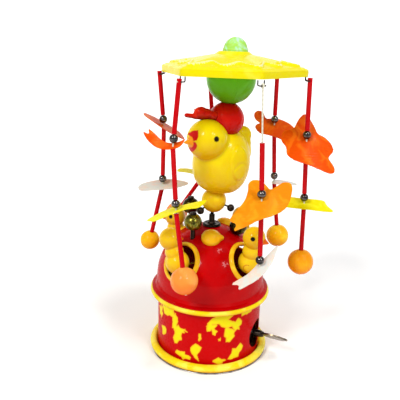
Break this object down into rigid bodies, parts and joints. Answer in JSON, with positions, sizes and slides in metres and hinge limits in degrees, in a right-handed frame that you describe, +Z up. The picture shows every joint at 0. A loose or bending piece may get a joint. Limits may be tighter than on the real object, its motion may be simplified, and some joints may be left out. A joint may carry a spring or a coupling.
{
  "type": "wind-up carousel toy",
  "caption": "Clockwork toy carousel: tin drum with key and domed nests, bells, and a turning chick under a canopy hung with swinging strands of beads, balls and spinning vanes.",
  "frame": {"origin": "centre of the drum's underside, on the table", "axes": "+Z up along the spindle, -Y towards the front of the toy, +X to the side that the key is nearest"},
  "size_m": [0.1589, 0.1597, 0.2551],
  "materials": {
    "base_plate": "plain tinplate floor, rolled edge",
    "base_ring": "yellow celluloid-look rolled ring",
    "drum_wall": "lithographed tin, red with jagged yellow patches",
    "top_ring": "yellow rolled ring",
    "dome_cover": "gloss red enamel on pressed tin",
    "nest_rings": "yellow celluloid rings",
    "nest_chicks": "blown celluloid chicks, painted eyes and beaks",
    "dome_buttons": "yellow celluloid buttons",
    "bells": "aged brass bells",
    "bell_posts": "blackened steel posts and screw heads",
    "neck_bush": "blackened steel bearing tube and collar",
    "motor_frame": "pressed steel clockwork frame",
    "mainspring": "blued spring steel",
    "key_bush": "black pressed plate behind the key hole",
    "drive_wire": "bent spindle wire",
    "spindle_pinion": "brass pinion",
    "neck_ball": "yellow blown celluloid ball",
    "strikers": "black striker balls on short wires",
    "chick": "yellow blown celluloid chick with painted face",
    "chick_comb": "flat red celluloid comb",
    "red_ball": "red blown celluloid ball",
    "green_ball": "green blown celluloid ball",
    "canopy": "pearly yellow pressed celluloid",
    "canopy_hooks": "dark wire hooks",
    "finial": "pale pearly green celluloid half-ball",
    "winding_arbor": "turned steel arbor",
    "winding_key": "flat nickelled steel key",
    "great_wheel": "brass great wheel",
    "second_arbor": "steel arbor with its pinion",
    "crown_wheel": "brass crown wheel",
    "a_upper_link": "red plastic tube on a core wire with a steel bead",
    "a_upper_vane": "orange pressed celluloid vane",
    "a_middle_link": "red plastic tube on a core wire with a steel bead",
    "a_lower_vane": "pressed celluloid vane",
    "a_drop": "red tube and peach celluloid end ball",
    "b_upper_link": "red plastic tube on a core wire with a steel bead",
    "b_upper_vane": "orange pressed celluloid vane",
    "b_middle_link": "red plastic tube on a core wire with a steel bead",
    "b_lower_vane": "pressed celluloid vane",
    "b_drop": "red tube and peach celluloid end ball",
    "c_upper_link": "red plastic tube on a core wire with a steel bead",
    "c_upper_vane": "orange pressed celluloid vane",
    "c_middle_link": "red plastic tube on a core wire with a steel bead",
    "c_lower_vane": "pressed celluloid vane",
    "c_drop": "bare core wire end with a knot",
    "d_upper_link": "red plastic tube on a core wire with a steel bead",
    "d_upper_vane": "orange pressed celluloid vane",
    "d_middle_link": "red plastic tube on a core wire with a steel bead",
    "d_lower_vane": "pressed celluloid vane",
    "d_drop": "red tube and peach celluloid end ball",
    "e_upper_link": "red plastic tube on a core wire with a steel bead",
    "e_upper_vane": "orange pressed celluloid vane",
    "e_middle_link": "red plastic tube on a core wire with a steel bead",
    "e_lower_vane": "pressed celluloid vane",
    "e_drop": "red tube and peach celluloid end ball",
    "f_upper_link": "red plastic tube on a core wire with a steel bead",
    "f_upper_vane": "orange pressed celluloid vane",
    "f_middle_link": "red plastic tube on a core wire with a steel bead",
    "f_lower_vane": "pressed celluloid vane",
    "f_drop": "red tube and peach celluloid end ball"
  },
  "bodies": {
    "base": {"base_plate": "base_plate", "base_ring": "base_ring", "drum_wall": "drum_wall", "top_ring": "top_ring", "dome_cover": "dome_cover", "nest_rings": "nest_rings", "nest_chicks": "nest_chicks", "dome_buttons": "dome_buttons", "bells": "bells", "bell_posts": "bell_posts", "neck_bush": "neck_bush", "motor_frame": "motor_frame", "mainspring": "mainspring", "key_bush": "key_bush"},
    "carousel": {"drive_wire": "drive_wire", "spindle_pinion": "spindle_pinion", "neck_ball": "neck_ball", "strikers": "strikers", "chick": "chick", "chick_comb": "chick_comb", "red_ball": "red_ball", "green_ball": "green_ball", "canopy": "canopy", "canopy_hooks": "canopy_hooks", "finial": "finial"},
    "winder": {"winding_arbor": "winding_arbor", "winding_key": "winding_key", "great_wheel": "great_wheel"},
    "second_wheel": {"second_arbor": "second_arbor", "crown_wheel": "crown_wheel"},
    "a_upper_link": {"a_upper_link": "a_upper_link"},
    "a_upper_vane": {"a_upper_vane": "a_upper_vane"},
    "a_middle_link": {"a_middle_link": "a_middle_link"},
    "a_lower_vane": {"a_lower_vane": "a_lower_vane"},
    "a_drop": {"a_drop": "a_drop"},
    "b_upper_link": {"b_upper_link": "b_upper_link"},
    "b_upper_vane": {"b_upper_vane": "b_upper_vane"},
    "b_middle_link": {"b_middle_link": "b_middle_link"},
    "b_lower_vane": {"b_lower_vane": "b_lower_vane"},
    "b_drop": {"b_drop": "b_drop"},
    "c_upper_link": {"c_upper_link": "c_upper_link"},
    "c_upper_vane": {"c_upper_vane": "c_upper_vane"},
    "c_middle_link": {"c_middle_link": "c_middle_link"},
    "c_lower_vane": {"c_lower_vane": "c_lower_vane"},
    "c_drop": {"c_drop": "c_drop"},
    "d_upper_link": {"d_upper_link": "d_upper_link"},
    "d_upper_vane": {"d_upper_vane": "d_upper_vane"},
    "d_middle_link": {"d_middle_link": "d_middle_link"},
    "d_lower_vane": {"d_lower_vane": "d_lower_vane"},
    "d_drop": {"d_drop": "d_drop"},
    "e_upper_link": {"e_upper_link": "e_upper_link"},
    "e_upper_vane": {"e_upper_vane": "e_upper_vane"},
    "e_middle_link": {"e_middle_link": "e_middle_link"},
    "e_lower_vane": {"e_lower_vane": "e_lower_vane"},
    "e_drop": {"e_drop": "e_drop"},
    "f_upper_link": {"f_upper_link": "f_upper_link"},
    "f_upper_vane": {"f_upper_vane": "f_upper_vane"},
    "f_middle_link": {"f_middle_link": "f_middle_link"},
    "f_lower_vane": {"f_lower_vane": "f_lower_vane"},
    "f_drop": {"f_drop": "f_drop"}
  },
  "joints": [
    {"name": "carousel_spin", "type": "hinge", "parent": "base", "child": "carousel", "pos_m": [0, 0, 0.1], "axis": [0, 0, 1], "continuous": true},
    {"name": "second_wheel_spin", "type": "hinge", "parent": "base", "child": "second_wheel", "pos_m": [0, 0, 0.03649], "axis": [0.9135, -0.4067, 0], "continuous": true},
    {"name": "winder_spin", "type": "hinge", "parent": "base", "child": "winder", "pos_m": [0, 0, 0.0205], "axis": [0.9135, -0.4067, 0], "continuous": true},
    {"name": "a_swing", "type": "hinge", "parent": "carousel", "child": "a_upper_link", "pos_m": [-0.02626, -0.04209, 0.226], "axis": [-0.7385, 0.6743, 0], "range_deg": [-0.4, 35]},
    {"name": "a_upper_vane_spin", "type": "hinge", "parent": "a_upper_link", "child": "a_upper_vane", "pos_m": [-0.02988, -0.04297, 0.1824], "axis": [-0.0828, -0.0201, -0.9964], "continuous": true},
    {"name": "a_knee", "type": "hinge", "parent": "a_upper_link", "child": "a_middle_link", "pos_m": [-0.03, -0.043, 0.181], "axis": [-0.7385, 0.6743, 0], "range_deg": [0, 15]},
    {"name": "a_lower_vane_spin", "type": "hinge", "parent": "a_middle_link", "child": "a_lower_vane", "pos_m": [-0.02709, -0.04591, 0.13539], "axis": [0.0636, -0.0636, -0.996], "continuous": true},
    {"name": "a_ankle", "type": "hinge", "parent": "a_middle_link", "child": "a_drop", "pos_m": [-0.027, -0.046, 0.134], "axis": [-0.7385, 0.6743, 0], "range_deg": [0, 15]},
    {"name": "b_swing", "type": "hinge", "parent": "carousel", "child": "b_upper_link", "pos_m": [-0.0435, 0.01224, 0.226], "axis": [0.2147, 0.9767, 0], "range_deg": [-0.4, 35]},
    {"name": "b_upper_vane_spin", "type": "hinge", "parent": "b_upper_link", "child": "b_upper_vane", "pos_m": [-0.04012, 0.01201, 0.1864], "axis": [0.085, -0.0058, -0.9964], "continuous": true},
    {"name": "b_knee", "type": "hinge", "parent": "b_upper_link", "child": "b_middle_link", "pos_m": [-0.04, 0.012, 0.185], "axis": [0.2147, 0.9767, 0], "range_deg": [0, 15]},
    {"name": "b_lower_vane_spin", "type": "hinge", "parent": "b_middle_link", "child": "b_lower_vane", "pos_m": [-0.04097, 0.01394, 0.1374], "axis": [-0.0204, 0.0408, -0.999], "continuous": true},
    {"name": "b_ankle", "type": "hinge", "parent": "b_middle_link", "child": "b_drop", "pos_m": [-0.041, 0.014, 0.136], "axis": [0.2147, 0.9767, 0], "range_deg": [0, 15]},
    {"name": "c_swing", "type": "hinge", "parent": "carousel", "child": "c_upper_link", "pos_m": [0.02941, -0.05433, 0.226], "axis": [-0.9532, -0.3024, 0], "range_deg": [-2, 35]},
    {"name": "c_upper_vane_spin", "type": "hinge", "parent": "c_upper_link", "child": "c_upper_vane", "pos_m": [0.03294, -0.05597, 0.1474], "axis": [0.0448, -0.0208, -0.9988], "continuous": true},
    {"name": "c_knee", "type": "hinge", "parent": "c_upper_link", "child": "c_middle_link", "pos_m": [0.033, -0.056, 0.146], "axis": [-0.9532, -0.3024, 0], "range_deg": [-3, 15]},
    {"name": "c_lower_vane_spin", "type": "hinge", "parent": "c_middle_link", "child": "c_lower_vane", "pos_m": [0.03397, -0.05988, 0.09939], "axis": [0.0208, -0.083, -0.9963], "continuous": true},
    {"name": "c_ankle", "type": "hinge", "parent": "c_middle_link", "child": "c_drop", "pos_m": [0.034, -0.06, 0.098], "axis": [-0.9532, -0.3024, 0], "range_deg": [-3, 15]},
    {"name": "d_swing", "type": "hinge", "parent": "carousel", "child": "d_upper_link", "pos_m": [0.05061, 0.04209, 0.226], "axis": [0.7385, -0.6743, 0], "range_deg": [-2, 35]},
    {"name": "d_upper_vane_spin", "type": "hinge", "parent": "d_upper_link", "child": "d_upper_vane", "pos_m": [0.05099, 0.04297, 0.1834], "axis": [0.0089, 0.0206, -0.9997], "continuous": true},
    {"name": "d_knee", "type": "hinge", "parent": "d_upper_link", "child": "d_middle_link", "pos_m": [0.051, 0.043, 0.182], "axis": [0.7385, -0.6743, 0], "range_deg": [-3, 15]},
    {"name": "d_lower_vane_spin", "type": "hinge", "parent": "d_middle_link", "child": "d_lower_vane", "pos_m": [0.05391, 0.043, 0.1344], "axis": [0.0611, 0, -0.9981], "continuous": true},
    {"name": "d_ankle", "type": "hinge", "parent": "d_middle_link", "child": "d_drop", "pos_m": [0.054, 0.043, 0.133], "axis": [0.7385, -0.6743, 0], "range_deg": [-3, 15]},
    {"name": "e_swing", "type": "hinge", "parent": "carousel", "child": "e_upper_link", "pos_m": [0.06784, -0.01224, 0.226], "axis": [-0.2147, -0.9767, 0], "range_deg": [-2, 35]},
    {"name": "e_upper_vane_spin", "type": "hinge", "parent": "e_upper_link", "child": "e_upper_vane", "pos_m": [0.06896, -0.01201, 0.1814], "axis": [0.0251, 0.0052, -0.9997], "continuous": true},
    {"name": "e_knee", "type": "hinge", "parent": "e_upper_link", "child": "e_middle_link", "pos_m": [0.069, -0.012, 0.18], "axis": [-0.2147, -0.9767, 0], "range_deg": [-3, 15]},
    {"name": "e_lower_vane_spin", "type": "hinge", "parent": "e_middle_link", "child": "e_lower_vane", "pos_m": [0.07094, -0.012, 0.1324], "axis": [0.0408, 0, -0.9992], "continuous": true},
    {"name": "e_ankle", "type": "hinge", "parent": "e_middle_link", "child": "e_drop", "pos_m": [0.071, -0.012, 0.131], "axis": [-0.2147, -0.9767, 0], "range_deg": [-3, 15]},
    {"name": "f_swing", "type": "hinge", "parent": "carousel", "child": "f_upper_link", "pos_m": [-0.00506, 0.05433, 0.226], "axis": [0.9532, 0.3024, 0], "range_deg": [-0.4, 35]},
    {"name": "f_upper_vane_spin", "type": "hinge", "parent": "f_upper_link", "child": "f_upper_vane", "pos_m": [-0.00113, 0.05401, 0.18439], "axis": [0.094, -0.0077, -0.9955], "continuous": true},
    {"name": "f_knee", "type": "hinge", "parent": "f_upper_link", "child": "f_middle_link", "pos_m": [-0.001, 0.054, 0.183], "axis": [0.9532, 0.3024, 0], "range_deg": [0, 15]},
    {"name": "f_lower_vane_spin", "type": "hinge", "parent": "f_middle_link", "child": "f_lower_vane", "pos_m": [-0.0078, 0.054, 0.13539], "axis": [-0.1414, 0, -0.9899], "continuous": true},
    {"name": "f_ankle", "type": "hinge", "parent": "f_middle_link", "child": "f_drop", "pos_m": [-0.008, 0.054, 0.134], "axis": [0.9532, 0.3024, 0], "range_deg": [0, 15]}
  ],
  "couplings": [
    {"joint": "second_wheel_spin", "follows": "carousel_spin", "ratio": 0.33333},
    {"joint": "winder_spin", "follows": "carousel_spin", "ratio": -0.083333}
  ]
}
